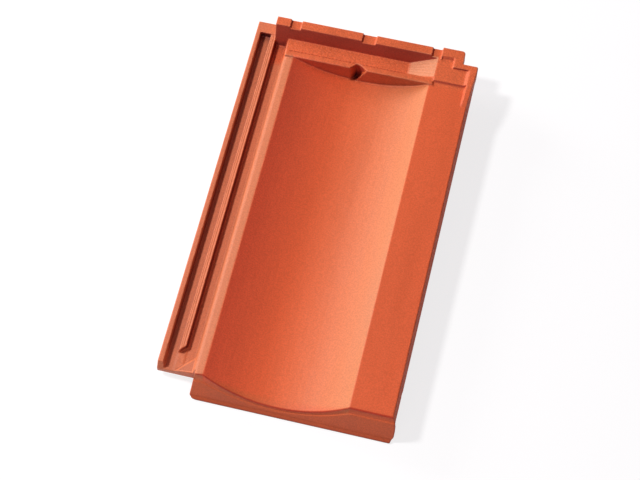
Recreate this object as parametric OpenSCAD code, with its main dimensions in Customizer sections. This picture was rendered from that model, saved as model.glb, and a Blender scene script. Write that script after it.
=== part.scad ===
// Single-trough interlocking roof tile, pressed in one piece from clay.
// The tile lies on its foot skirt and its two hanging nibs, foot towards -Y and side channel towards -X.
// Sizes are in millimetres. Inside the modules x runs from the left edge and y from the foot.

/* [Overall] */
// length from the foot lip to the back of the head rim
tile_length = 478; // [380:1:580]
// width from the side channel to the right end of the foot skirt
tile_width = 275.5; // [260:0.5:300]
// height of the shoulder and of the right flat above the foot edge
crest_height = 40; // [38:0.5:41]
// wall of the pressed body
body_thickness = 11.7; // [10:0.1:12.5]

/* [Trough] */
// left edge of the trough
trough_left = 57.5; // [56:0.5:62]
// depth of the trough below its edges
trough_depth = 25.5; // [22:0.5:26]

/* [Side channel] */
// where the side channel begins behind the foot
channel_front = 22; // [20:1:30]
// underside of the side channel
channel_under = 7; // [6:0.5:9]
// floor of both side grooves
groove_floor = 17; // [15.5:0.5:19]
// top of the outer rim
rim_top = 26; // [24:0.5:27]
// top of the middle rib
middle_rib_top = 25; // [22:0.5:25.5]
// lean of the outer side over its whole height
side_lean = 1.2; // [0.5:0.1:3]
// how far the outer side comes in from the foot to the head
side_flare = 1; // [0.2:0.1:3]
// inner edge of the outer rim
rim_inner = 7.6; // [6.5:0.1:8.5]
// left edge of the middle rib
middle_rib_left = 21; // [19:0.5:22]
// right edge of the middle rib
middle_rib_right = 27.4; // [25:0.1:29]
// lean of each groove wall
groove_lean = 1.3; // [0.5:0.1:2]
// foot of the shoulder wall in the inner groove
shoulder_foot = 40.5; // [38:0.5:42]
// outer edge of the shoulder
shoulder_edge = 46.4; // [44:0.1:48]
// drop of the shoulder from the trough to its outer edge
shoulder_fall = 1.5; // [0.5:0.1:3]
// level land between the shoulder's slope and the trough
shoulder_land = 1.5; // [1:0.1:3]
// wall under the shoulder, measured at the underside of the channel
shoulder_wall = 9.4; // [8:0.1:12]
// foot end of the middle rib at its right side
rib_end = 53; // [48:0.5:60]
// how much further to the foot its left side reaches
rib_end_skew = 9.5; // [4:0.5:14]
// height of the low strip from there to the foot of the channel
rib_low = 0.7; // [0.4:0.1:2]
// length of the slope at the foot end of the outer rim
rim_end_slope = 5.5; // [2:0.5:9]
// length of the closed pad at the head of the outer groove
channel_pad = 14.5; // [10:0.5:20]

/* [Water deflector] */
// left end of the water deflector at the foot
deflector_left = 19; // [16:1:28]
// length of the water deflector along the tile
deflector_length = 28; // [15:1:34]
// height of the step along the deflector
deflector_step = 2.2; // [1:0.1:4]
// slope of that step
deflector_step_angle = 45; // [30:1:60]
// rise of the deflector from the step to its corner
deflector_rise = 7; // [3:0.5:12]

/* [Right flank] */
// width of the flat beside the trough
flat_width = 49; // [44:0.5:52]
// how far the flat's right edge stands inside the tile's width
flat_inset = 3.7; // [2.5:0.1:6]
// how far the flat's underside stands inside the tile's width
under_inset = 0.5; // [0.2:0.1:1.2]
// how far the bottom of the covering lip stands inside the tile's width
lip_inset = 1.3; // [0.8:0.1:2.5]
// width of the covering lip
lip_width = 6.5; // [5:0.1:9]
// bottom of the covering lip
lip_bottom = 20; // [18:0.5:24]
// width of the covering rib
cover_rib_width = 5; // [4:0.5:7]
// room between the covering rib or lip and the next tile
cover_clearance = 2; // [1:0.5:4]
// width over which a tile lies on its neighbour's side channel
side_lap = 41.5; // [40:0.5:43]

/* [Head lap] */
// depth of the head lap behind the trough
lap_depth = 48; // [45:0.5:60]
// top width of the straight cross rib behind the trough
cross_rib_width = 8.2; // [6:0.1:10]
// rise of the cross rib above the crest
cross_rib_rise = 2; // [1:0.5:3]
// floor of the head groove
head_floor = 29; // [27:0.5:32]
// top of the head rim
head_rim_top = 46; // [45:0.5:48]
// top width of the head rim
head_rim_width = 11; // [9:0.5:13]
// slope of the head groove's rear wall
head_wall_run = 7; // [4:0.5:9]
// left end of the head rim
head_rim_left = 26.6; // [26:0.1:29]
// how far the head rim ends inside the tile's width
rim_end_inset = 18.5; // [16:0.5:24]
// how far the rim's right end stands behind the rest of the rim
rim_end_back = 2.2; // [0:0.1:3]
// depth of the shallow notches in the head rim
rim_notch_depth = 2.6; // [1:0.1:4]
// middle of the left notch
left_notch = 50.8; // [45:0.1:60]
// width of the left notch
left_notch_width = 13.3; // [8:0.1:20]
// middle of the middle notch
middle_notch = 141; // [130:0.1:150]
// width of the middle notch
middle_notch_width = 16.6; // [8:0.1:24]
// middle of the right notch, inside the tile's width
right_notch_inset = 51.5; // [45:0.1:60]
// width of the right notch
right_notch_width = 11.6; // [8:0.1:18]
// left edge of the drain notch, left of the trough's middle
drain_reach = 13.45; // [5:0.05:25]
// width of the drain notch at the top
drain_top_width = 21; // [14:0.5:28]
// width of the drain notch at the trough
drain_foot_width = 7; // [4:0.5:12]
// depth of the drain notch into the cross rib
drain_depth = 7; // [4:0.5:7.5]
// width of the flat at the back of the drain notch
drain_flat = 3; // [1:0.5:5]

/* [Head corner] */
// length of the ramp that closes the head groove
ramp_run = 34; // [22:1:50]
// width of the head pad, with the raised edge
pad_width = 48.5; // [44:0.5:50]
// top of the head pad
pad_top = 43; // [42.5:0.5:44]
// depth of the head pad, from its front edge to the back of the tile
pad_depth = 42; // [38:0.5:46]
// radius of the cove in front of the pad
pad_cove = 5; // [4:0.5:7]
// how deep the cove runs out into the flat
cove_sink = 0.2; // [0.1:0.1:0.5]
// depth of the raised corner behind the pad, to the back of the tile
corner_depth = 22; // [18:0.5:26]
// step that leaves room for the next tile's head rim
corner_step = 14.7; // [10:0.1:16]
// width of the raised corner
corner_width = 29.5; // [26:0.5:35]
// width of the raised right edge
edge_rib_width = 8.5; // [6:0.5:11]
// run of the slope from the pad to the raised right edge
edge_slope_run = 4.2; // [1:0.1:6]
// length of the raised right edge, to the back of the tile
edge_rib_length = 70; // [55:1:90]
// lean of the raised edge's inner side
edge_rib_lean = 1.6; // [0.5:0.1:3]
// rounding of the head rim's right end
rim_end_radius = 3.5; // [1:0.1:5]
// rounding of the right corner
corner_radius = 2.5; // [1:0.1:4]

/* [Foot] */
// depth of the lip along the bottom of the front
lip_depth = 3.4; // [1.5:0.1:5]
// height of that lip's front
foot_lip_height = 2.5; // [1.5:0.5:4]
// rise of the lip's top to the leaning face
foot_lip_rise = 1.7; // [0.5:0.1:3]
// run of the leaning face from the lip to the crest
front_lean = 14.1; // [8:0.1:17]
// rounding of the upper front edge
nose_radius = 3.2; // [2:0.1:5]
// thickness of the skirt at its bottom
skirt_thickness = 12; // [9:0.5:16]
// left end of the skirt at its bottom
skirt_left = 43; // [41:0.5:45]
// lean of the left end of the nose
nose_lean = 5; // [2:0.5:6]
// outward bow of the skirt's left end
skirt_bow = 0.6; // [0:0.1:1.5]
// width of the chamfer at the skirt's left bottom corner
left_chamfer_width = 7.8; // [4:0.1:10]
// height of the chamfer at the skirt's left bottom corner
left_chamfer_height = 4; // [2:0.5:6]
// width of the chamfer at the skirt's right bottom corner
right_chamfer_width = 4; // [2:0.5:8]
// height of the chamfer at the skirt's right bottom corner
right_chamfer_height = 8; // [4:0.5:12]

/* [Hanging nibs] */
// how far the nibs reach below the foot edge
nib_drop = 9; // [6:0.5:14]
// width of each nib
nib_width = 38; // [30:1:50]
// thickness of each nib at its bottom
nib_thickness = 10; // [8:0.5:14]
// distance between the middles of the nibs
nib_spacing = 95; // [70:1:100]

/* [Hidden] */
$fn = 96;
nose_steps = 8;
overlap = 1;
reach = 20;
brink_sink = 0.15;
above = crest_height + reach;
flat_right = tile_width - flat_inset;
under_right = tile_width - under_inset;
lip_right = tile_width - lip_inset;
cover_width = tile_width - side_lap;
trough_width = flat_right - flat_width - trough_left;
trough_middle = trough_left + trough_width / 2;
trough_right = trough_left + trough_width;
trough_bottom = crest_height - trough_depth;
trough_radius = (trough_width * trough_width / 4 + trough_depth * trough_depth) / (2 * trough_depth);
trough_axis = trough_bottom + trough_radius;
shell_radius = trough_radius + body_thickness;
shell_bottom = trough_axis - shell_radius;
shoulder_peak = trough_left - shoulder_land;
flank_left = trough_right + body_thickness / 2;
flank_under = crest_height - body_thickness;
flare_angle = atan(side_flare / (tile_length - channel_front));
wall_slope = (shoulder_edge - shoulder_foot) / (crest_height - shoulder_fall - groove_floor);
wall_front = tile_length - lap_depth;
wall_back = wall_front + cross_rib_width + groove_lean;
plate_under = head_floor - body_thickness;
rear_low = plate_under + body_thickness / 2;
rim_front = tile_length - head_rim_width;
rim_slope = head_wall_run / (head_rim_top - head_floor);
rib_top = crest_height + cross_rib_rise;
pad_front = tile_length - pad_depth;
cove_height = crest_height + pad_cove - cove_sink;
cove_middle = pad_front - sqrt(pow(pad_cove, 2) - pow(cove_height - pad_top, 2));
corner_front = tile_length - corner_depth;
corner_back = tile_length - corner_step;
edge_rib_start = tile_length - edge_rib_length;
head_rim_right = tile_width - rim_end_inset;
rim_end_rear = tile_length + rim_end_back;
right_notch = tile_width - right_notch_inset;
pad_left = tile_width - pad_width;
ramp_start = pad_left - ramp_run;
corner_left = tile_width - corner_width;
edge_rib_inner = tile_width - edge_rib_width;
drain_left = trough_middle - drain_reach;
side_slope = (under_right - flat_right) / (crest_height - flank_under);
cover_rib_middle = cover_width + (rim_inner + middle_rib_left) / 2;
cover_rib_end = tile_length - channel_pad - cover_clearance;
cover_lip_start = channel_front + deflector_length + cover_clearance;
deflector_width = shoulder_edge - deflector_left;
deflector_turn = atan2(deflector_length, deflector_width);
deflector_tilt = atan2(deflector_rise, deflector_width * sin(deflector_turn));
foot_lip_top = foot_lip_height + foot_lip_rise;
front_edge = lip_depth + front_lean;
front_angle = atan(front_lean / (crest_height - foot_lip_top));
nose_tangent = nose_radius * tan((90 - front_angle) / 2);
brink_front = front_edge - trough_depth * tan(front_angle);
brink_rise = trough_depth / cos(front_angle);
brink_radius = (trough_width * trough_width / 4 + brink_rise * brink_rise) / (2 * brink_rise);
rest_tilt = atan(nib_drop / wall_back);
reach_back = max(
    tile_length * cos(rest_tilt) - channel_under * sin(rest_tilt),
    rim_end_rear * cos(rest_tilt) - flank_under * sin(rest_tilt)
);
reach_front = foot_lip_height * sin(rest_tilt);

// height of the floor the tile lies on, at a distance from the foot
function rest(y) = -y * tan(rest_tilt);

// outer side of the side channel at the foot, at a height
function outer_side(z) = side_lean * (z - channel_under) / (rim_top - channel_under);

// right side of the flat, at a height
function side_at(z) = flat_right + side_slope * (crest_height - z);

// an outline across the tile, drawn out along its length
module along(from, to) {
    translate([0, to, 0])
        rotate([90, 0, 0])
            linear_extrude(to - from)
                children();
}

// an outline along the tile, drawn out across it
module across(from, to) {
    translate([from, 0, 0])
        rotate([90, 0, 90])
            linear_extrude(to - from)
                children();
}

// an outline seen from above, drawn upwards
module upward(from, to) {
    translate([0, 0, from])
        linear_extrude(to - from)
            children();
}

// plate on the left with both grooves, which takes the next tile's covering rib and lip
module side_channel() {
    difference() {
        along(channel_front, tile_length)
            polygon([
                [-overlap, channel_under],
                [-overlap, rim_top],
                [shoulder_foot + wall_slope * (rim_top - groove_floor), rim_top],
                [shoulder_edge, crest_height - shoulder_fall],
                [shoulder_peak, crest_height],
                [shoulder_peak, flank_under],
                [shoulder_edge + body_thickness / 2, flank_under],
                [shoulder_foot + shoulder_wall, channel_under]
            ]);
        along(channel_front - overlap, tile_length - channel_pad)
            polygon([
                [rim_inner, above],
                [rim_inner, rim_top],
                [rim_inner + groove_lean, groove_floor],
                [middle_rib_left - groove_lean, groove_floor],
                [middle_rib_left, middle_rib_top],
                [middle_rib_right, middle_rib_top],
                [middle_rib_right + groove_lean, groove_floor],
                [shoulder_foot, groove_floor],
                [shoulder_foot + wall_slope * (rim_top - groove_floor), rim_top],
                [shoulder_foot + wall_slope * (rim_top - groove_floor), above]
            ]);
        upward(groove_floor + rib_low, above)
            polygon([
                [middle_rib_left - groove_lean, channel_front - overlap],
                [middle_rib_left - groove_lean, rib_end - rib_end_skew],
                [middle_rib_right + groove_lean, rib_end],
                [middle_rib_right + groove_lean, channel_front - overlap]
            ]);
        translate([0, channel_front, 0])
            rotate([0, 0, -flare_angle])
                along(-reach, tile_length)
                    polygon([
                        [-reach, channel_under - overlap],
                        [outer_side(channel_under - overlap), channel_under - overlap],
                        [outer_side(above), above],
                        [-reach, above]
                    ]);
        across(-2 * overlap, rim_inner + groove_lean)
            polygon([
                [channel_front - overlap, groove_floor - groove_lean],
                [channel_front, groove_floor - groove_lean],
                [channel_front + rim_end_slope, rim_top],
                [channel_front + rim_end_slope, above],
                [channel_front - overlap, above]
            ]);
        across(head_rim_left - overlap, trough_left)
            head_groove_outline();
    }
}

// everything under a plane that rises from the deflector's edge towards the shoulder
module below_slope(lift, tilt) {
    translate([deflector_left, channel_front, groove_floor + lift])
        rotate([0, 0, deflector_turn])
            rotate([-tilt, 0, 0])
                translate([-tile_width / 2, -tile_width / 2, -tile_width])
                    cube(tile_width);
}

// stepped fill that turns the water out of the inner groove at the foot
module deflector() {
    intersection() {
        upward(channel_under, crest_height - shoulder_fall)
            polygon([
                [deflector_left, channel_front],
                [shoulder_edge, channel_front],
                [shoulder_edge, channel_front + deflector_length]
            ]);
        below_slope(0, deflector_step_angle);
        below_slope(deflector_step, deflector_tilt);
    }
}

// clear room of the head groove, seen along the tile
module head_groove_outline() {
    polygon([
        [wall_front + cross_rib_width, above],
        [wall_front + cross_rib_width, rib_top],
        [wall_back + groove_lean, head_floor],
        [rim_front - head_wall_run, head_floor],
        [rim_front, head_rim_top],
        [rim_front, above]
    ]);
}

// trough, flat and foot, with the leaning front and the room of the trough and of the head groove taken out
module trough_body() {
    intersection() {
        across(-overlap, tile_width + overlap)
            behind_front();
        difference() {
            union() {
                along(0, wall_back)
                    polygon([
                        [shoulder_edge + nose_lean / 2, crest_height - shoulder_fall / 2],
                        [shoulder_peak, crest_height],
                        [flank_left + body_thickness, crest_height],
                        [flank_left + body_thickness, flank_under],
                        [shoulder_edge + body_thickness / 2, flank_under]
                    ]);
                trough_shell(0, wall_back);
                flank();
                cheek();
                skirt();
            }
            trough_room();
            trough_brink();
            across(head_rim_left - overlap, flank_left + body_thickness + overlap)
                head_groove_outline();
        }
    }
}

// rounded underside of the trough
module trough_shell(from, to) {
    intersection() {
        along(from, to)
            translate([trough_middle, trough_axis])
                circle(shell_radius);
        along(from, to)
            polygon([
                [trough_left - body_thickness / 2, shell_bottom - overlap],
                [trough_right + body_thickness / 2, shell_bottom - overlap],
                [trough_right + body_thickness / 2, crest_height - overlap],
                [trough_left + overlap, crest_height - overlap],
                [trough_left - body_thickness / 2, flank_under]
            ]);
    }
}

// clear room of the trough, open at the foot
module trough_room() {
    along(-overlap, wall_front)
        translate([trough_middle, trough_axis])
            circle(trough_radius);
}

// what the rounding of the trough's edge at the foot leaves out
module trough_brink() {
    middle = [brink_radius + nose_tangent - brink_sink, nose_radius - brink_sink];
    translate([
        trough_middle,
        brink_front + brink_radius * sin(front_angle),
        trough_bottom + brink_radius * cos(front_angle)
    ])
        rotate([-90 - front_angle, 0, 0])
            rotate_extrude()
                difference() {
                    polygon([
                        [middle[0] - 2 * nose_radius, -overlap],
                        [middle[0], -overlap],
                        middle,
                        middle - 2 * nose_radius * [cos(front_angle), sin(front_angle)]
                    ]);
                    translate(middle)
                        circle(nose_radius);
                }
}

// right flat with the lip and the rib that cover the next tile's channel
module flank() {
    along(0, rim_front + overlap)
        polygon([
            [flank_left, crest_height],
            [flat_right, crest_height],
            [under_right, flank_under],
            [flank_left, flank_under]
        ]);
    along(skirt_thickness, cover_rib_end)
        polygon([
            [cover_rib_middle - cover_rib_width / 2 - groove_lean, flank_under + overlap],
            [cover_rib_middle + cover_rib_width / 2 + groove_lean, flank_under + overlap],
            [cover_rib_middle + cover_rib_width / 2, groove_floor + cover_clearance],
            [cover_rib_middle - cover_rib_width / 2, groove_floor + cover_clearance]
        ]);
    along(cover_lip_start, rim_front)
        polygon([
            [lip_right - lip_width - groove_lean, flank_under + overlap],
            [side_at(flank_under + overlap), flank_under + overlap],
            [under_right, flank_under],
            [lip_right, lip_bottom],
            [lip_right - lip_width, lip_bottom]
        ]);
}

// shallow notch across the head rim
module rim_notch(middle, width) {
    translate([middle - width / 2, rim_front - head_wall_run, head_rim_top - rim_notch_depth])
        cube([width, tile_length, above]);
}

// thinner stretch of the head rim over the flat
module rim_end(from, to, back) {
    across(from, to)
        translate([back, 0])
            polygon([
                [rim_front - head_wall_run, flank_under],
                [rim_front - head_wall_run, crest_height],
                [rim_front, head_rim_top],
                [tile_length, head_rim_top],
                [tile_length, flank_under]
            ]);
}

// cross rib, head groove and head rim
module head_lap() {
    across(shoulder_edge, pad_left)
        polygon([
            [wall_front, flank_under],
            [wall_front, rib_top],
            [wall_front + cross_rib_width, rib_top],
            [wall_back + groove_lean, head_floor],
            [wall_back + groove_lean, flank_under - groove_lean]
        ]);
    across(shoulder_foot + wall_slope * (head_floor - groove_floor), pad_left)
        polygon([
            [wall_back - overlap, plate_under],
            [wall_back - overlap, head_floor],
            [rim_front, head_floor],
            [rim_front, plate_under]
        ]);
    difference() {
        union() {
            across(head_rim_left, pad_left)
                polygon([
                    [rim_front - head_wall_run - rim_slope * (head_floor - groove_floor), groove_floor],
                    [rim_front, head_rim_top],
                    [tile_length, head_rim_top],
                    [tile_length, rear_low],
                    [tile_length - body_thickness / 2, plate_under],
                    [rim_front - head_wall_run, channel_under + body_thickness / 2]
                ]);
            rim_end(pad_left - overlap, right_notch + right_notch_width / 2 + overlap, 0);
            rim_end(right_notch + right_notch_width / 2, head_rim_right + overlap, rim_end_back);
        }
        rim_notch(left_notch, left_notch_width);
        rim_notch(middle_notch, middle_notch_width);
        rim_notch(right_notch, right_notch_width);
    }
    along(wall_front + cross_rib_width, rim_front)
        polygon([
            [ramp_start, plate_under],
            [ramp_start, head_floor],
            [pad_left, pad_top],
            [pad_left, plate_under]
        ]);
}

// pad, raised corner and raised edge at the right of the head
module head_corner() {
    across(pad_left, flat_right)
        difference() {
            polygon([
                [cove_middle, flank_under],
                [cove_middle, pad_top],
                [rim_front + overlap, pad_top],
                [rim_front + overlap, flank_under]
            ]);
            translate([cove_middle, cove_height])
                circle(pad_cove);
        }
    upward(flank_under, head_rim_top)
        polygon([
            [corner_left, corner_front],
            [tile_width, corner_front],
            [tile_width, rim_end_rear],
            [corner_left, rim_end_rear]
        ]);
    along(pad_front, corner_front + overlap)
        polygon([
            [edge_rib_inner - edge_slope_run, pad_top],
            [edge_rib_inner, head_rim_top],
            [edge_rib_inner + overlap, head_rim_top],
            [edge_rib_inner + overlap, flank_under],
            [edge_rib_inner - edge_slope_run, flank_under]
        ]);
    intersection() {
        across(edge_rib_inner - edge_slope_run, tile_width)
            polygon([
                [edge_rib_start, flank_under],
                [edge_rib_start, crest_height],
                [pad_front, head_rim_top],
                [corner_back, head_rim_top],
                [corner_back, flank_under]
            ]);
        along(edge_rib_start - overlap, corner_back + overlap)
            polygon([
                [edge_rib_inner - edge_rib_lean, flank_under],
                [edge_rib_inner - edge_rib_lean, crest_height],
                [edge_rib_inner, head_rim_top],
                [edge_rib_inner, above],
                [tile_width + overlap, above],
                [tile_width + overlap, flank_under]
            ]);
        upward(flank_under, above)
            polygon([
                [edge_rib_inner - edge_slope_run, edge_rib_start],
                [flat_right, edge_rib_start],
                [tile_width, corner_front],
                [tile_width, corner_back],
                [edge_rib_inner - edge_slope_run, corner_back]
            ]);
    }
}

// what a rounded upright corner leaves out, seen from above
module corner_cut(x, y, radius) {
    upward(channel_under, above)
        translate([x - radius, y - radius])
            difference() {
                square(radius + overlap);
                circle(radius);
            }
}

// room behind the right corner for the next tile's head rim, leaning as that rim does
module corner_room() {
    across(head_rim_right, tile_width + overlap)
        polygon([
            [corner_back, above],
            [corner_back, head_rim_top],
            [corner_back - rim_slope * (head_rim_top - channel_under), channel_under],
            [rim_end_rear + overlap, channel_under],
            [rim_end_rear + overlap, above]
        ]);
}

// everything behind the front of the foot, with the lip, the leaning face and the rounded edge
module behind_front() {
    rounding = [for (i = [0 : nose_steps])
        let (turn = 180 - front_angle - (90 - front_angle) * i / nose_steps)
            [front_edge + nose_tangent + nose_radius * cos(turn),
                crest_height - nose_radius + nose_radius * sin(turn)]];
    polygon(concat(
        [
            [0, rest(tile_length)],
            [0, foot_lip_height],
            [lip_depth, foot_lip_top]
        ],
        rounding,
        [
            [front_edge + nose_tangent, above],
            [tile_length + overlap, above],
            [tile_length + overlap, rest(tile_length)]
        ]
    ));
}

// left end of the nose in front of the side channel
module cheek() {
    along(0, channel_front + overlap)
        polygon([
            [skirt_left + nose_lean, crest_height - shoulder_fall],
            [shoulder_peak, crest_height],
            [shoulder_peak, flank_under],
            [shoulder_foot + shoulder_wall, channel_under],
            [skirt_left, channel_under]
        ]);
}

// skirt along the front, wider than the flat at the right
module skirt() {
    intersection() {
        across(0, tile_width)
            polygon([
                [-overlap, rest(-overlap)],
                [-overlap, flank_under + overlap],
                [skirt_thickness + nose_lean, flank_under + overlap],
                [skirt_thickness, rest(skirt_thickness)]
            ]);
        along(-2 * overlap, channel_front)
            polygon([
                [skirt_left + left_chamfer_width, rest(skirt_thickness)],
                [skirt_left - skirt_bow, left_chamfer_height],
                [skirt_left + nose_lean, crest_height],
                [flat_right, crest_height],
                [tile_width - overlap, flank_under],
                [tile_width, lip_bottom],
                [tile_width, right_chamfer_height],
                [tile_width - right_chamfer_width, rest(skirt_thickness)]
            ]);
    }
}

// nib that hangs the tile on a batten
module nib(middle) {
    across(middle - nib_width / 2, middle + nib_width / 2)
        polygon([
            [wall_back, plate_under + overlap],
            [wall_back, rest(wall_back)],
            [wall_back + nib_thickness, rest(wall_back + nib_thickness)],
            [wall_back + 2 * nib_thickness, plate_under + overlap]
        ]);
}

// notch in the cross rib that lets water out into the trough
module drain_notch() {
    intersection() {
        along(wall_front - overlap, wall_back)
            polygon([
                [drain_left, above],
                [drain_left, trough_bottom],
                [drain_left + drain_foot_width, trough_bottom],
                [drain_left + drain_top_width, rib_top],
                [drain_left + drain_top_width, above]
            ]);
        upward(trough_bottom, above)
            polygon([
                [drain_left, wall_front - overlap],
                [drain_left, wall_front],
                [drain_left + drain_depth, wall_front + drain_depth],
                [drain_left + drain_depth + drain_flat, wall_front + drain_depth],
                [drain_left + drain_top_width, wall_front],
                [drain_left + drain_top_width, wall_front - overlap]
            ]);
    }
}

module tile() {
    color([0.78, 0.34, 0.20])
        translate([-tile_width / 2, -(reach_back - reach_front) / 2, 0])
            rotate([rest_tilt, 0, 0])
                difference() {
                    union() {
                        side_channel();
                        deflector();
                        trough_body();
                        head_lap();
                        head_corner();
                        nib(trough_middle - nib_spacing / 2);
                        nib(trough_middle + nib_spacing / 2);
                    }
                    drain_notch();
                    corner_room();
                    corner_cut(head_rim_right, rim_end_rear, rim_end_radius);
                    corner_cut(tile_width, corner_back, corner_radius);
                }
}

tile();
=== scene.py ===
import math

import bpy
import numpy as np
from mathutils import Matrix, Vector, noise


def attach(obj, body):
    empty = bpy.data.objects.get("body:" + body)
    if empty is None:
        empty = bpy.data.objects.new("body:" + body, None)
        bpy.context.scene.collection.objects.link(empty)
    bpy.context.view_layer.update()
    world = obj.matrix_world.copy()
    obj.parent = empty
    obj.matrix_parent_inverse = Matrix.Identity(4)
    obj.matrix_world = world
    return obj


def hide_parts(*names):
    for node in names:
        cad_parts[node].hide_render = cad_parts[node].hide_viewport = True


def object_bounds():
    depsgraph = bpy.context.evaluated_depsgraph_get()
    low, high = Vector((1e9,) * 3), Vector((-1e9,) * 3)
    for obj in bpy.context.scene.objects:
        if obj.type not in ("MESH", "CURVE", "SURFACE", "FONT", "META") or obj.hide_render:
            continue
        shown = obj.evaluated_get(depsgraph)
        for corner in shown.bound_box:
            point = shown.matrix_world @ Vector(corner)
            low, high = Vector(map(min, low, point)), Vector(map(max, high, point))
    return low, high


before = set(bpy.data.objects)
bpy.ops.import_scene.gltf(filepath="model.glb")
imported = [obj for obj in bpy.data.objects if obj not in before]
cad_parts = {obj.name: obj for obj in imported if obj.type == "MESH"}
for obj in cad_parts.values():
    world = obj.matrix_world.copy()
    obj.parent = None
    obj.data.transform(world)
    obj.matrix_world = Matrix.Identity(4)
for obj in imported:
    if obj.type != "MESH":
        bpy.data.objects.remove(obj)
lowBefore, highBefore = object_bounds()
print("frame loaded", [round(v, 4) for v in highBefore - lowBefore])


def makeActive(thing):
    bpy.ops.object.select_all(action="DESELECT")
    thing.select_set(True)
    bpy.context.view_layer.objects.active = thing


def applyModifier(thing, kind, **values):
    makeActive(thing)
    bpy.ops.object.modifier_add(type=kind)
    modifier = thing.modifiers[-1]
    for key, value in values.items():
        setattr(modifier, key, value)
    bpy.ops.object.modifier_apply(modifier=modifier.name)


# the fired piece: a soft-edged copy of the pressed shape
tile = {
    "name": "roofTile",
    "weld": 0.00002,
    "voxel": 0.00075,
    "softFactor": 0.5,
    "softSteps": 2,
    "triangles": 190000,
}

tilePiece = bpy.data.objects.new(tile["name"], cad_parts["tile"].data.copy())
bpy.context.scene.collection.objects.link(tilePiece)
makeActive(tilePiece)
bpy.ops.object.mode_set(mode="EDIT")
bpy.ops.mesh.select_all(action="SELECT")
bpy.ops.mesh.remove_doubles(threshold=tile["weld"])
bpy.ops.object.mode_set(mode="OBJECT")
applyModifier(tilePiece, "REMESH", mode="VOXEL", voxel_size=tile["voxel"], use_smooth_shade=True)
applyModifier(tilePiece, "SMOOTH", factor=tile["softFactor"], iterations=tile["softSteps"])
print("clay surface", len(tilePiece.data.polygons), "faces")

# fine relief of the press mould, in millimetres: x from the left edge, y from the foot, z from the foot edge
relief = {
    "perMetre": 1000,
    "tilt": 1.17313,
    "footToOrigin": 239.7344,
    "troughMiddle": 140.15,
    "troughHalf": 82.65,
    "troughRadius": 146.69,
    "troughDepth": 25.5,
    "crest": 40,
    "frontLean": 21.49,
    "frontReach": 2.5,
    "frontFacing": (0.2, 0.6),
    "lipTop": 4.2,
    "lipDepth": 3.4,
    "bandStart": (1.2, 3.0),
    "bandMiddle": 4.2,
    "bandLeft": 12,
    "bandRight": 9.4,
    "bandLedge": 1.4,
    "bandDepth": 0.9,
    "ramp": (194, 226, 439.5, 466),
    "rampSoft": 1.5,
    "rampNarrow": 0.55,
    "rampLines": 2.6,
    "rampFacing": 0.6,
    "rampDepth": 0.12,
    "dotSpan": (53, 192),
    "dotSoft": 2,
    "dotRow": 437.6,
    "dotWidth": 0.9,
    "dotPitch": 4.2,
    "dotAboveCrest": 1,
    "dotFacing": 0.3,
    "dotDepth": 0.6,
    "lineMiddles": (22.7, 25.2),
    "lineWidth": 0.75,
    "lineSpan": (52, 460),
    "lineSoft": 2,
    "lineAbove": 22,
    "lineFacing": 0.5,
    "lineDepth": 0.7,
    "floor": (49, 191, 441, 460),
    "floorSoft": (2, 1.5),
    "floorBelow": 30.5,
    "floorFacing": 0.8,
    "floorGrain": 560,
    "floorDepth": 0.22,
    "leastMask": 0.01,
}
troughAxis = relief["crest"] - relief["troughDepth"] + relief["troughRadius"]


def fade(value, start, end):
    part = np.clip((value - start) / (end - start), 0, 1)
    return part * part * (3 - 2 * part)


def within(value, low, high, soft):
    return fade(value, low - soft, low) * (1 - fade(value, high, high + soft))


def frontBand(x, y, z, facing):
    # shaded band under the rounded front edge, ending in a narrow ledge
    lean = math.radians(relief["frontLean"])
    side = x - relief["troughMiddle"]
    share = np.clip(np.abs(side) / relief["troughHalf"], 0, 1)
    arc = troughAxis - np.sqrt(relief["troughRadius"] ** 2 - (share * relief["troughHalf"]) ** 2)
    down = (arc - z) / math.cos(lean)
    wide = np.where(side < 0, relief["bandLeft"], relief["bandRight"])
    width = relief["bandMiddle"] + (wide - relief["bandMiddle"]) * share ** 2
    face = relief["lipDepth"] + (z - relief["lipTop"]) * math.tan(lean)
    onFace = (np.abs(y - face) < relief["frontReach"]) * fade(-facing[:, 1], *relief["frontFacing"])
    dip = fade(down, *relief["bandStart"]) * (1 - fade(down, width, width + relief["bandLedge"]))
    return -relief["bandDepth"] * dip * onFace


def rampFan(x, y, facing):
    # faint lines that spread over the ramp at the head groove's end
    left, right, front, rear = relief["ramp"]
    middle = (front + rear) / 2
    spread = relief["rampNarrow"] + (1 - relief["rampNarrow"]) * (x - left) / (right - left)
    lines = np.cos(2 * math.pi * relief["rampLines"] * (y - middle) / ((rear - middle) * spread))
    mask = within(x, left, right, relief["rampSoft"]) * within(y, front, rear, relief["rampSoft"])
    return relief["rampDepth"] * lines * mask * (facing[:, 2] > relief["rampFacing"])


def ribDots(x, y, z, facing):
    # row of dots along the cross rib's rear edge
    pulse = np.clip(np.cos(2 * math.pi * x / relief["dotPitch"]), 0, 1)
    row = np.exp(-((y - relief["dotRow"]) / relief["dotWidth"]) ** 2)
    mask = within(x, *relief["dotSpan"], relief["dotSoft"]) * (facing[:, 2] > relief["dotFacing"])
    return -relief["dotDepth"] * pulse * row * mask * (z > relief["crest"] + relief["dotAboveCrest"])


def ribLines(x, y, z, facing):
    # fine lines that the mould leaves along the middle rib
    cut = sum(np.exp(-((x - middle) / relief["lineWidth"]) ** 2) for middle in relief["lineMiddles"])
    mask = within(y, *relief["lineSpan"], relief["lineSoft"]) * (facing[:, 2] > relief["lineFacing"])
    return -relief["lineDepth"] * cut * mask * (z > relief["lineAbove"])


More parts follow.
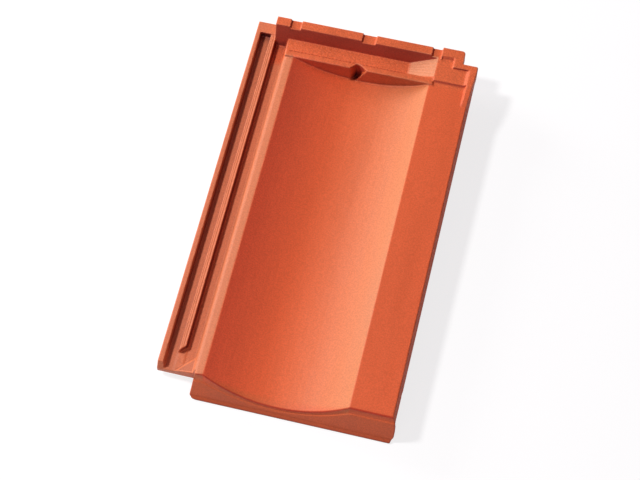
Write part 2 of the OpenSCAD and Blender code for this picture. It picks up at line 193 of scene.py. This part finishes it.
def floorMottle(points, x, y, z, facing):
    # uneven grain on the head groove's floor
    left, right, front, rear = relief["floor"]
    softAcross, softAlong = relief["floorSoft"]
    mask = within(x, left, right, softAcross) * within(y, front, rear, softAlong)
    mask = mask * (facing[:, 2] > relief["floorFacing"]) * (z < relief["floorBelow"])
    lift = np.zeros(len(x))
    for index in np.nonzero(mask > relief["leastMask"])[0]:
        lift[index] = noise.noise(Vector(points[index]) * relief["floorGrain"])
    return relief["floorDepth"] * lift * mask


def readVertices(mesh, name):
    values = np.empty(len(mesh.vertices) * 3, np.float32)
    mesh.vertices.foreach_get(name, values)
    return values.reshape(-1, 3).astype(float)


def pressRelief(mesh):
    points = readVertices(mesh, "co")
    facing = readVertices(mesh, "normal")
    tilt = math.radians(relief["tilt"])
    along = points[:, 1] * relief["perMetre"] + relief["footToOrigin"]
    up = points[:, 2] * relief["perMetre"]
    x = (points[:, 0] - lowBefore[0]) * relief["perMetre"]
    y = along * math.cos(tilt) + up * math.sin(tilt)
    z = up * math.cos(tilt) - along * math.sin(tilt)
    lift = frontBand(x, y, z, facing) + rampFan(x, y, facing)
    lift += ribDots(x, y, z, facing) + ribLines(x, y, z, facing) + floorMottle(points, x, y, z, facing)
    points += facing * lift[:, None] / relief["perMetre"]
    mesh.vertices.foreach_set("co", points.astype(np.float32).ravel())
    mesh.update()
    print("mould relief", round(float(lift.min()), 2), round(float(lift.max()), 2), "mm")


pressRelief(tilePiece.data)
share = tile["triangles"] / (2 * len(tilePiece.data.polygons))
applyModifier(tilePiece, "DECIMATE", decimate_type="COLLAPSE", ratio=share, use_collapse_triangulate=True)
makeActive(tilePiece)
bpy.ops.object.shade_smooth()
print("soft edges", len(tilePiece.data.polygons), "triangles")

# fired clay: orange red body, paler on the channel side partly as painted highlight, fine grain, and a body
# colour across the tile that is partly painted light; places in metres, turns as normals
clay = {
    # partly painted light: the trough's shaded left is lifted, its lit right and the channel side are paler
    "across": {
        -0.1377: (0.59, 0.153, 0.063, 1),
        -0.0815: (0.58, 0.168, 0.068, 1),
        -0.0798: (0.85, 0.123, 0.048, 1),
        -0.0200: (0.72, 0.114, 0.035, 1),
        0.0300: (0.63, 0.132, 0.039, 1),
        0.0840: (0.59, 0.182, 0.062, 1),
        0.0858: (0.65, 0.106, 0.030, 1),
    },
    "ends": (0.63, 0.118, 0.036, 1),
    "footEnd": (-0.228, -0.221),
    "headEnd": (0.186, 0.193),
    "headLeft": (-0.1118, -0.1105),
    # painted highlight: paler colour on the ramp, whose slope catches the light
    "ramp": (0.62, 0.220, 0.100, 1),
    "rampSides": (0.055, 0.059, 0.0880, 0.0895),
    "rampEnds": (0.199, 0.201, 0.2255, 0.2275),
    "rampLevel": (0.65, 0.80),
    "wallFacing": (-0.45, -0.85),
    # painted shade on the head rim's wall that faces the foot
    "rimWallShade": (0.62, 0.48, 0.85, 1),
    "rimWallStart": (0.1915, 0.1930),
    # painted shade colour: green and blue lifted on the cross rib's shaded front wall
    "crossWallShadeTint": (1.0, 1.45, 2.2, 1),
    "crossWallEnds": (0.1780, 0.1800, 0.1905, 0.1915),
    # painted shade: dulls the deflector face that is turned to the light
    "deflector": (0.70, 0.67, 0.66, 1),
    "deflectorSides": (-0.1195, -0.1185, -0.0930, -0.0915),
    "deflectorEnds": (-0.2190, -0.2182, -0.1980, -0.1900),
    "deflectorFacing": (0.08, 0.16),
    "deflectorLevel": (0.80, 0.90),
    # painted shade under the rounded front edge
    "brinkShade": (0.72, 0.38, 0.38, 1),
    "brinkEnd": (-0.2215, -0.2195),
    "brinkFacing": (-0.15, -0.40),
    "brinkBelow": (0.0012, 0.0034),
    "brinkLift": 0.0002,
    "footEdge": (0.0008, 0.0072),
    # painted shade: darker towards the bottom edge, a contact shadow
    "footEdgeShade": (0.45, 0.38, 0.38, 1),
    # painted shade along the cross rib's crease
    "creaseShade": (0.76, 0.54, 0.44, 1),
    "creaseSides": (-0.0880, -0.0870, 0.0540, 0.0560),
    "creaseEnds": (0.1955, 0.1962, 0.1976, 0.1982),
    "headLevel": (0.45, 0.60),
    "cloudScale": 14,
    "cloudStretch": (1.7, 0.22, 1),
    "cloudDetail": 4,
    "cloudDark": 0.945,
    "speckScale": 620,
    "speckDetail": 2,
    "speckDark": 0.905,
    "headSpeckDark": 0.935,
    "toneSpan": (0.35, 0.65),
    # pale edges, partly wear and partly painted highlight
    "wornAndHighlight": (0.72, 0.230, 0.110, 1),
    "paleEdgeReach": 0.0022,
    "paleEdgeRange": (0.90, 0.60),
    "paleEdgeShare": 0.8,
    "hollowReach": 0.024,
    "hollowRange": (0.28, 0.64),
    # painted shade in the hollows and grooves
    "hollowShade": (0.14, 0.0, 0.10, 1),
    "unevenScale": 45,
    "unevenHeight": 0.0005,
    "grainScale": 1300,
    "grainHeight": 0.00005,
    "bumpDetail": 3,
    "roughness": (0.46, 0.58),
    "roughSpan": (0.3, 0.7),
    "specular": 0.28,
}


def newMaterial(name):
    material = bpy.data.materials.new(name)
    material.use_nodes = True
    tree = material.node_tree
    tree.nodes.clear()
    return material, tree.nodes, tree.links


terracotta, clayNodes, clayLinks = newMaterial("terracotta")


def feed(socket, value):
    if isinstance(value, bpy.types.NodeSocket):
        clayLinks.new(value, socket)
    else:
        socket.default_value = value


def addAxes(source):
    node = clayNodes.new("ShaderNodeSeparateXYZ")
    feed(node.inputs["Vector"], source)
    return node.outputs["X"], node.outputs["Y"], node.outputs["Z"]


def addNoise(source, scale, detail):
    node = clayNodes.new("ShaderNodeTexNoise")
    for name, value in (("Vector", source), ("Scale", scale), ("Detail", detail)):
        feed(node.inputs[name], value)
    return node.outputs["Fac"]


def addRange(source, span, toLow=0, toHigh=1):
    node = clayNodes.new("ShaderNodeMapRange")
    names = ("Value", "From Min", "From Max", "To Min", "To Max")
    for name, value in zip(names, (source, *span, toLow, toHigh)):
        feed(node.inputs[name], value)
    return node.outputs["Result"]


def addMath(operation, *values):
    node = clayNodes.new("ShaderNodeMath")
    node.operation = operation
    for socket, value in zip(node.inputs, values):
        feed(socket, value)
    return node.outputs["Value"]


def addAll(first, *others):
    # where all the masks overlap
    for mask in others:
        first = addMath("MULTIPLY", first, mask)
    return first


def addBand(source, start, full, end, gone):
    return addAll(addRange(source, (start, full)), addRange(source, (end, gone), 1, 0))


def addMix(factor, first, second, blend="MIX"):
    node = clayNodes.new("ShaderNodeMix")
    node.data_type = "RGBA"
    node.blend_type = blend
    feed(node.inputs[0], factor)
    feed(node.inputs[6], first)  # the colour sockets come after the plain numbers
    feed(node.inputs[7], second)
    return node.outputs[2]


def addTone(source, dark):
    value = addRange(source, clay["toneSpan"], dark, 2 - dark)
    node = clayNodes.new("ShaderNodeCombineColor")
    for name in ("Red", "Green", "Blue"):
        feed(node.inputs[name], value)
    return node.outputs["Color"]


def addOpenness(reach, inside):
    node = clayNodes.new("ShaderNodeAmbientOcclusion")
    node.inside = inside
    node.only_local = True
    node.inputs["Distance"].default_value = reach
    return node.outputs["AO"]


def addBump(source, height):
    node = clayNodes.new("ShaderNodeBump")
    node.inputs["Distance"].default_value = height
    feed(node.inputs["Height"], source)
    return node


place = clayNodes.new("ShaderNodeTexCoord").outputs["Object"]
across, along, upward = addAxes(place)
turnAlong, turnUp = addAxes(clayNodes.new("ShaderNodeNewGeometry").outputs["Normal"])[1:]

# the body colour changes across the tile, partly as painted light: raised on the trough's shaded left, paler
# and pinker like a sheen on its lit right and on the channel side
stops = sorted(clay["across"].items())
left, right = stops[0][0], stops[-1][0]
bodyColourAndPaintedLight = clayNodes.new("ShaderNodeValToRGB")
bodyColourAndPaintedLight.color_ramp.elements[0].color = stops[0][1]
bodyColourAndPaintedLight.color_ramp.elements[-1].color = stops[-1][1]
for spot, value in stops[1:-1]:
    bodyColourAndPaintedLight.color_ramp.elements.new((spot - left) / (right - left)).color = value
feed(bodyColourAndPaintedLight.inputs["Fac"], addRange(across, (left, right)))

# masks for the ends and for single faces; most of the single-face masks place painted shade or a painted
# highlight
facingFoot = addRange(turnAlong, clay["wallFacing"])
footMask = addRange(along, clay["footEnd"], 1, 0)
headMask = addAll(addRange(along, clay["headEnd"]), addRange(across, clay["headLeft"]))
headLevel = addRange(turnUp, clay["headLevel"])
rampMask = addAll(addBand(across, *clay["rampSides"]), addBand(along, *clay["rampEnds"]),
                  addRange(turnUp, clay["rampLevel"]))
# painted shade: rim wall faces that turn to the foot
rimWallShadeMask = addAll(facingFoot, addRange(along, clay["rimWallStart"]))
# painted shade colour: the cross rib's front wall, which faces the foot
crossWallShadeMask = addAll(facingFoot, addBand(along, *clay["crossWallEnds"]))
# painted shade: the deflector face turned to the light
deflectorMask = addAll(addBand(across, *clay["deflectorSides"]), addBand(along, *clay["deflectorEnds"]),
                       addRange(turnAlong, clay["deflectorFacing"]), addRange(turnUp, clay["deflectorLevel"]))
# painted shade: the cross rib's crease
creaseShadeMask = addAll(addBand(across, *clay["creaseSides"]), addBand(along, *clay["creaseEnds"]), headLevel)
speckMask = addAll(headMask, headLevel, addRange(rampMask, (0, 1), 1, 0))
# painted shade: darker towards the bottom edge
footEdgeShadeMask = addRange(upward, clay["footEdge"], 1, 0)

# painted shade: dark line along the trough's front edge, where the rounded edge shades the face below
beside = addMath("SUBTRACT", across, relief["troughMiddle"] / relief["perMetre"] + lowBefore[0])
beside = addMath("MINIMUM", addAll(beside, beside), (relief["troughHalf"] / relief["perMetre"]) ** 2)
root = addMath("SQRT", addMath("SUBTRACT", (relief["troughRadius"] / relief["perMetre"]) ** 2, beside))
arc = addMath("SUBTRACT", troughAxis / relief["perMetre"] + clay["brinkLift"], root)
brinkShadeMask = addAll(addRange(turnAlong, clay["brinkFacing"]), addRange(along, clay["brinkEnd"], 1, 0),
                   addRange(addMath("SUBTRACT", arc, upward), clay["brinkBelow"], 1, 0))

# pale edges, partly wear and partly painted highlight, and painted shade in the hollows
wornAndHighlightMask = addAll(addRange(addOpenness(clay["paleEdgeReach"], True), clay["paleEdgeRange"], 0, clay["paleEdgeShare"]),
                  addRange(along, clay["brinkEnd"]))
# painted shade: darker where the surface is enclosed
hollowShadeMask = addRange(addOpenness(clay["hollowReach"], False), clay["hollowRange"], 1, 0)

stretch = clayNodes.new("ShaderNodeMapping")
stretch.inputs["Scale"].default_value = clay["cloudStretch"]
feed(stretch.inputs["Vector"], place)
clouds = addNoise(stretch.outputs["Vector"], clay["cloudScale"], clay["cloudDetail"])
speck = addNoise(place, clay["speckScale"], clay["speckDetail"])

# colours first, then shades from the largest to the smallest; the ramp colour is a painted highlight, and the
# rim wall, cross wall, deflector, foot edge and crease tones are painted shade
colour = addMix(footMask, bodyColourAndPaintedLight.outputs["Color"], clay["ends"])
colour = addMix(headMask, colour, clay["ends"])
# painted highlight: the ramp is paler, as its slope catches the light
colour = addMix(rampMask, colour, clay["ramp"])
shades = (
    # painted shade on the rim wall facing the foot
    (rimWallShadeMask, clay["rimWallShade"]),
    # painted shade colour on the cross rib's front wall
    (crossWallShadeMask, clay["crossWallShadeTint"]),
    # painted shade: the deflector face turned to the light is dulled
    (deflectorMask, clay["deflector"]),
    (1, addTone(clouds, clay["cloudDark"])),
    # painted shade: darker towards the bottom edge, a contact shadow
    (footEdgeShadeMask, clay["footEdgeShade"]),
    (1, addTone(speck, clay["speckDark"])),
    (speckMask, addTone(speck, clay["headSpeckDark"])),
    # painted shade along the cross rib's crease
    (creaseShadeMask, clay["creaseShade"]),
)
for mask, tone in shades:
    colour = addMix(mask, colour, tone, "MULTIPLY")
# pale edges, partly wear and partly painted highlight
colour = addMix(wornAndHighlightMask, colour, clay["wornAndHighlight"])
# painted shade under the trough's front edge
colour = addMix(brinkShadeMask, colour, clay["brinkShade"], "MULTIPLY")
# painted shade in the hollows
colour = addMix(hollowShadeMask, colour, clay["hollowShade"], "MULTIPLY")

uneven = addBump(addNoise(place, clay["unevenScale"], clay["bumpDetail"]), clay["unevenHeight"])
grain = addBump(addNoise(place, clay["grainScale"], clay["bumpDetail"]), clay["grainHeight"])
feed(grain.inputs["Normal"], uneven.outputs["Normal"])

shader = clayNodes.new("ShaderNodeBsdfPrincipled")
shader.inputs["Specular IOR Level"].default_value = clay["specular"]
feed(shader.inputs["Base Color"], colour)
feed(shader.inputs["Roughness"], addRange(clouds, clay["roughSpan"], *clay["roughness"]))
feed(shader.inputs["Normal"], grain.outputs["Normal"])
surface = clayNodes.new("ShaderNodeOutputMaterial")
feed(surface.inputs["Surface"], shader.outputs["BSDF"])

tilePiece.data.materials.clear()
tilePiece.data.materials.append(terracotta)
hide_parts("tile")
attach(tilePiece, "root")
print("clay finished")

# plain pale studio floor, white where the camera sees it
studio = {
    "floorSize": 6,
    "floorColour": (0.80, 0.80, 0.80, 1),
    "whiteLevel": 0.8,
    "shadowShare": (0.24, 0.24, 0.24, 1),
    "worldColour": (1, 0.36, 0.80, 1),
    "worldLevel": 0.10,
    "keyAim": (-0.75, 0.06, 1),
    "keyDistance": 3,
    "keySize": 0.4,
    "keyPower": 76,
    "sideAim": (-1, 0.5, 0.42),
    "sideDistance": 2.2,
    "sideSize": 0.9,
    "sidePower": 32,
    "frontAim": (0.04, -1, 0.50),
    "frontDistance": 0.62,
    "frontSize": 0.3,
    "frontPower": 0.3,
}


def addSeen(nodes, links, unseen, seen, target):
    # rays that show the white background: straight, mirrored or through glass
    path = nodes.new("ShaderNodeLightPath")
    factor = path.outputs["Is Camera Ray"]
    for name in ("Is Glossy Ray", "Is Transmission Ray"):
        most = nodes.new("ShaderNodeMath")
        most.operation = "MAXIMUM"
        links.new(factor, most.inputs[0])
        links.new(path.outputs[name], most.inputs[1])
        factor = most.outputs["Value"]
    either = nodes.new("ShaderNodeMixShader")
    links.new(factor, either.inputs["Fac"])
    links.new(unseen, either.inputs[1])
    links.new(seen, either.inputs[2])
    links.new(either.outputs["Shader"], target)


bpy.ops.mesh.primitive_plane_add(size=studio["floorSize"])
floor = bpy.context.active_object
floor.name = "studioFloor"
paleFloor, floorNodes, floorLinks = newMaterial("paleFloor")
matt = floorNodes.new("ShaderNodeBsdfDiffuse")
matt.inputs["Color"].default_value = studio["floorColour"]
white = floorNodes.new("ShaderNodeEmission")
white.inputs["Strength"].default_value = studio["whiteLevel"]
faint = floorNodes.new("ShaderNodeBsdfDiffuse")
faint.inputs["Color"].default_value = studio["shadowShare"]
paper = floorNodes.new("ShaderNodeAddShader")
floorLinks.new(white.outputs["Emission"], paper.inputs[0])
floorLinks.new(faint.outputs["BSDF"], paper.inputs[1])
floorSurface = floorNodes.new("ShaderNodeOutputMaterial").inputs["Surface"]
addSeen(floorNodes, floorLinks, matt.outputs["BSDF"], paper.outputs["Shader"], floorSurface)
floor.data.materials.append(paleFloor)

world = bpy.data.worlds.new("studio")
bpy.context.scene.world = world
world.use_nodes = True
worldNodes, worldLinks = world.node_tree.nodes, world.node_tree.links
worldNodes.clear()
fill = worldNodes.new("ShaderNodeBackground")
fill.inputs["Color"].default_value = studio["worldColour"]
fill.inputs["Strength"].default_value = studio["worldLevel"]
backdrop = worldNodes.new("ShaderNodeBackground")
worldSurface = worldNodes.new("ShaderNodeOutputWorld").inputs["Surface"]
addSeen(worldNodes, worldLinks, fill.outputs["Background"], backdrop.outputs["Background"], worldSurface)


def addSoftbox(name):
    aim = Vector(studio[name + "Aim"]).normalized()
    bpy.ops.object.light_add(type="AREA", location=aim * studio[name + "Distance"])
    lamp = bpy.context.active_object
    lamp.name = name + "Softbox"
    lamp.rotation_mode = "QUATERNION"
    lamp.rotation_quaternion = aim.to_track_quat("Z", "Y")
    lamp.data.shape = "DISK"
    lamp.data.size = studio[name + "Size"]
    lamp.data.energy = studio[name + "Power"]


addSoftbox("key")
addSoftbox("side")
addSoftbox("front")
print("studio lit")

# the photograph's viewpoint
viewpoint = {
    "location": (0.22301, -0.82084, 1.77891),
    "turn": (25.1343, 0.8248, 13.6366),
    "lens": 94.781,
    "sensor": 36,
}

bpy.ops.object.camera_add(location=viewpoint["location"])
camera = bpy.context.active_object
camera.rotation_euler = [math.radians(angle) for angle in viewpoint["turn"]]
camera.data.lens = viewpoint["lens"]
camera.data.sensor_width = viewpoint["sensor"]
camera.data.sensor_fit = "HORIZONTAL"
scene = bpy.context.scene
scene.camera = camera
scene.view_settings.view_transform = "Standard"
